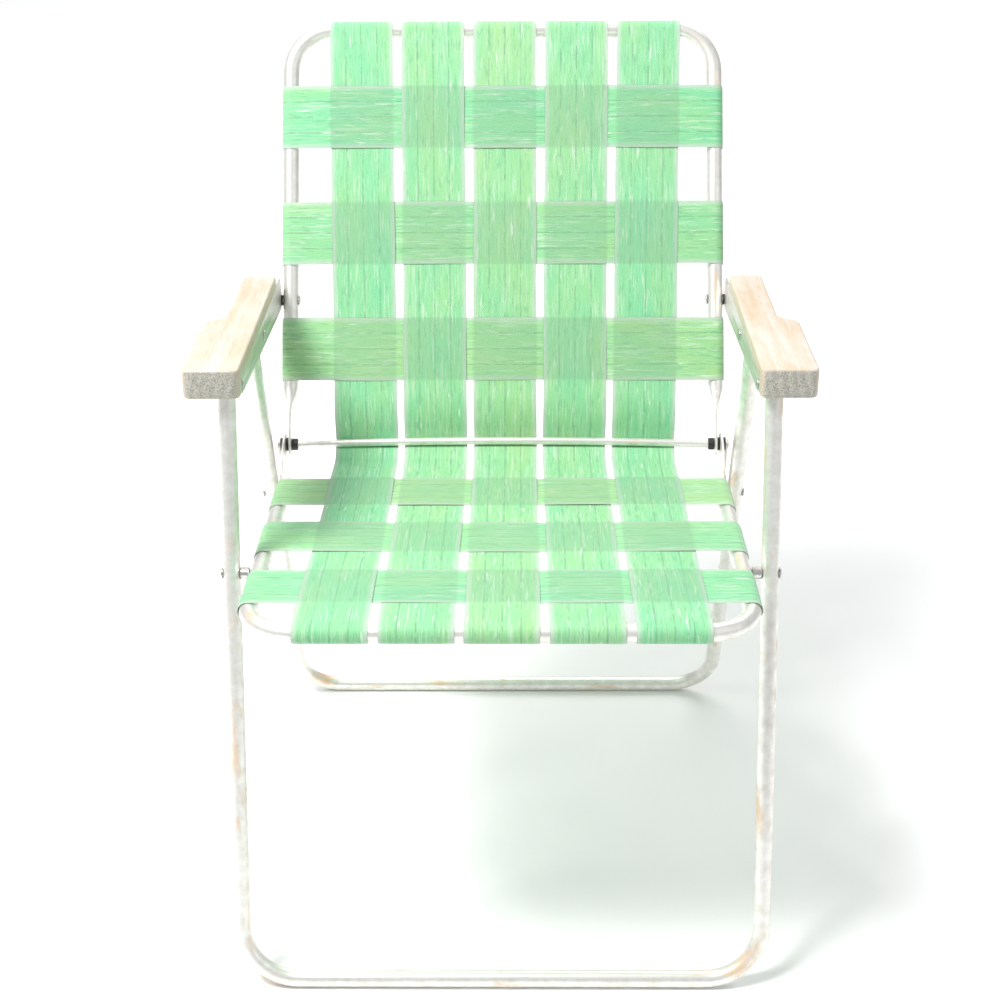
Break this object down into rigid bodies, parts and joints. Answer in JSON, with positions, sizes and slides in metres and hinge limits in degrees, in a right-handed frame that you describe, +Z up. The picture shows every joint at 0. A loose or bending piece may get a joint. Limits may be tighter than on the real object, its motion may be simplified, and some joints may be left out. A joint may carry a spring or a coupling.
{
  "type": "folding webbed lawn chair",
  "caption": "Folding lawn chair: bent aluminium tube seat, back and legs joined by rivets and links, interwoven flat webbing, wooden arms on tapered rails.",
  "frame": {"origin": "on the floor under the middle of the open chair's bounding box", "axes": "+X to the right as seen from the front, +Y to the back, +Z up"},
  "size_m": [0.658, 0.7054, 0.9108],
  "materials": {
    "tube": "worn bright aluminium tube",
    "rail": "pressed aluminium angle",
    "link": "flat aluminium strip",
    "rod": "drawn aluminium rod",
    "rivet": "headed rivets, screws and washers",
    "spacer": "black nylon spacers",
    "wood": "pale sanded softwood, worn clear finish",
    "webbing": "mint green woven webbing"
  },
  "bodies": {
    "back": {"back_frame": "tube", "cross_rod": "rod", "rod_collar_left": "spacer", "rod_collar_right": "spacer", "rod_washer_left": "spacer", "rod_washer_right": "spacer", "link_washer_left": "spacer", "link_washer_right": "spacer", "back_rivet_left": "rivet", "back_rivet_right": "rivet", "back_spacer_left": "spacer", "back_spacer_right": "spacer", "back_strap_1": "webbing", "back_strap_2": "webbing", "back_strap_3": "webbing", "back_strap_4": "webbing", "back_strap_5": "webbing", "back_cross_strap_1": "webbing", "back_cross_strap_2": "webbing", "back_cross_strap_3": "webbing"},
    "seat": {"seat_frame": "tube", "seat_strap_1": "webbing", "seat_strap_2": "webbing", "seat_strap_3": "webbing", "seat_strap_4": "webbing", "seat_strap_5": "webbing", "seat_cross_strap_1": "webbing", "seat_cross_strap_2": "webbing", "seat_cross_strap_3": "webbing"},
    "arm_assembly_left": {"arm_left": "wood", "arm_rail_left": "rail", "arm_screw_front_left": "rivet", "arm_screw_rear_left": "rivet", "front_leg_rivet_left": "rivet", "front_leg_washer_left": "rivet", "rear_leg_rivet_left": "rivet", "rear_leg_washer_left": "rivet"},
    "arm_assembly_right": {"arm_right": "wood", "arm_rail_right": "rail", "arm_screw_front_right": "rivet", "arm_screw_rear_right": "rivet", "front_leg_rivet_right": "rivet", "front_leg_washer_right": "rivet", "rear_leg_rivet_right": "rivet", "rear_leg_washer_right": "rivet"},
    "front_legs": {"front_leg_frame": "tube", "seat_rivet_left": "rivet", "seat_rivet_right": "rivet", "seat_spacer_left": "rivet", "seat_spacer_right": "rivet"},
    "rear_legs": {"rear_leg_frame": "tube", "link_rivet_left": "rivet", "link_rivet_right": "rivet", "link_spacer_left": "rivet", "link_spacer_right": "rivet"},
    "link_left": {"link_left": "link"},
    "link_right": {"link_right": "link"}
  },
  "joints": [
    {"name": "arm_left_hinge", "type": "hinge", "parent": "back", "child": "arm_assembly_left", "pos_m": [0, 0.18063, 0.61111], "axis": [-1, 0, 0], "range_deg": [0, 104]},
    {"name": "arm_right_hinge", "type": "hinge", "parent": "back", "child": "arm_assembly_right", "pos_m": [0, 0.18063, 0.61111], "axis": [-1, 0, 0], "range_deg": [0, 104]},
    {"name": "seat_hinge", "type": "hinge", "parent": "back", "child": "seat", "pos_m": [0, 0.09477, 0.45748], "axis": [-1, 0, 0], "range_deg": [0, 111.31]},
    {"name": "front_leg_hinge", "type": "hinge", "parent": "arm_assembly_left", "child": "front_legs", "pos_m": [0, -0.14423, 0.64198], "axis": [1, 0, 0], "range_deg": [0, 94.11]},
    {"name": "rear_leg_hinge", "type": "hinge", "parent": "arm_assembly_left", "child": "rear_legs", "pos_m": [0, 0.02177, 0.62998], "axis": [1, 0, 0], "range_deg": [0, 56.01]},
    {"name": "link_left_hinge", "type": "hinge", "parent": "back", "child": "link_left", "pos_m": [0, 0.09477, 0.45748], "axis": [-1, 0, 0], "range_deg": [0, 205]},
    {"name": "link_right_hinge", "type": "hinge", "parent": "back", "child": "link_right", "pos_m": [0, 0.09477, 0.45748], "axis": [-1, 0, 0], "range_deg": [0, 205]}
  ],
  "couplings": [
    {"joint": "arm_right_hinge", "follows": "arm_left_hinge", "ratio": 1},
    {"joint": "seat_hinge", "follows": "arm_left_hinge", "ratio": 1.0702},
    {"joint": "front_leg_hinge", "follows": "arm_left_hinge", "ratio": 0.9048},
    {"joint": "rear_leg_hinge", "follows": "arm_left_hinge", "ratio": 0.5385},
    {"joint": "link_left_hinge", "follows": "arm_left_hinge", "ratio": 1.971},
    {"joint": "link_right_hinge", "follows": "arm_left_hinge", "ratio": 1.971}
  ]
}
